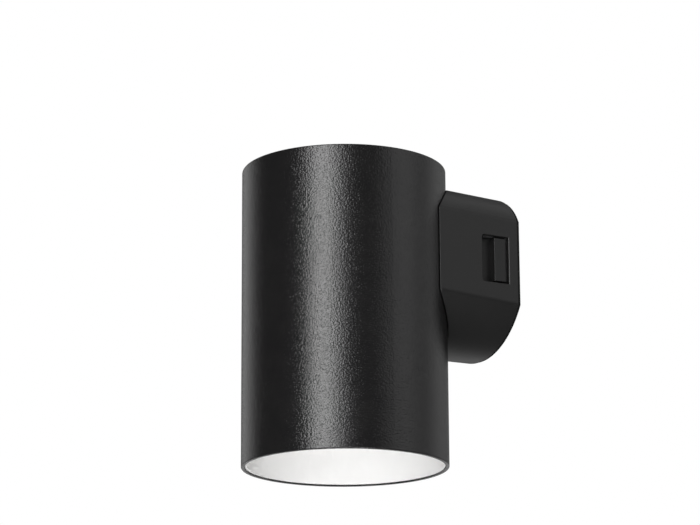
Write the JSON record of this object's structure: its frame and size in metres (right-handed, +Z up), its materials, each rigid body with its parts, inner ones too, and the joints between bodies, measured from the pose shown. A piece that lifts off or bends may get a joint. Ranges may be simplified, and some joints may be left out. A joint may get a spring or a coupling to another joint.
{
  "type": "tube wall light",
  "caption": "Downward tube wall light whose bracket clips to a wall plate with two sprung catches, with a white reflector and a screw-in lamp.",
  "frame": {"origin": "middle of the wall plate's two fixing slots, on the back face that lies against the wall", "axes": "+Z up, +Y into the wall, +X to the right as seen from the room; the tube's axis is upright, in front of the wall"},
  "size_m": [0.108, 0.1375, 0.159],
  "materials": {
    "tube_paint": "semi-gloss black powder coat with a fine pebbled texture",
    "bracket_plastic": "matt black moulded plastic, finely eroded",
    "catch_plastic": "smooth black moulded plastic",
    "plate_plastic": "matt black glass-filled plastic",
    "seal_rubber": "matt black rubber",
    "reflector_white": "smooth matt white enamel",
    "zinc_steel": "bright zinc plate",
    "spring_steel": "polished spring wire",
    "brass": "plain brass",
    "nickel": "satin nickel plate",
    "terminal_plastic": "natural moulded plastic",
    "holder_plastic": "white moulded plastic",
    "lamp_insulator": "black vitrified insulator",
    "lamp_white": "glossy white plastic",
    "lamp_opal": "satin opal plastic",
    "lead_brown": "brown lead insulation",
    "lead_blue": "blue lead insulation",
    "lead_earth": "green and yellow lead insulation"
  },
  "bodies": {
    "fixture": {"wall_gasket": "seal_rubber", "wall_plate": "plate_plastic", "cable_grommet": "seal_rubber", "catch_spring_right": "spring_steel", "catch_spring_left": "spring_steel", "terminal_block": "terminal_plastic", "terminal_clamps": "brass", "terminal_screws": "zinc_steel", "terminal_fixings": "zinc_steel", "bracket_cover": "bracket_plastic", "saddle_gasket": "seal_rubber", "saddle_screws": "zinc_steel", "lead_grommet": "seal_rubber", "tube_shell": "tube_paint", "top_cap": "bracket_plastic", "top_cap_seal": "seal_rubber", "top_cap_screw": "zinc_steel", "holder_strap": "zinc_steel", "holder_screws": "zinc_steel", "holder_shell": "nickel", "holder_contact": "brass", "reflector_sleeve": "reflector_white", "reflector_cone": "reflector_white", "shade_ring": "holder_plastic", "lead_live": "lead_brown", "lead_neutral": "lead_blue", "lead_earth": "lead_earth", "earth_tag": "brass", "earth_screw": "zinc_steel", "lamp_holder": "holder_plastic"},
    "catch_right": {"catch_right": "catch_plastic"},
    "catch_left": {"catch_left": "catch_plastic"},
    "lamp_seat": {"lamp_tip": "brass"},
    "lamp": {"lamp_insulator": "lamp_insulator", "lamp_cap": "nickel", "lamp_body": "lamp_white", "lamp_globe": "lamp_opal"}
  },
  "joints": [
    {"name": "catch_right_press", "type": "slide", "parent": "fixture", "child": "catch_right", "axis": [-1, 0, 0], "range_m": [0, 0.0026], "stiffness_N_per_m": 1200, "springref_m": -0.002, "deforming": ["catch_spring_right"]},
    {"name": "catch_left_press", "type": "slide", "parent": "fixture", "child": "catch_left", "axis": [1, 0, 0], "range_m": [0, 0.0026], "stiffness_N_per_m": 1200, "springref_m": -0.002, "deforming": ["catch_spring_left"]},
    {"name": "lamp_drop", "type": "slide", "parent": "fixture", "child": "lamp_seat", "axis": [0, 0, -1], "range_m": [0, 0.01453]},
    {"name": "lamp_turn", "type": "hinge", "parent": "lamp_seat", "child": "lamp", "pos_m": [0, -0.0835, 0], "axis": [0, 0, -1], "range_deg": [0, 1440]}
  ],
  "couplings": [
    {"joint": "lamp_drop", "follows": "lamp_turn", "m_per_rad": 0.00057757}
  ]
}
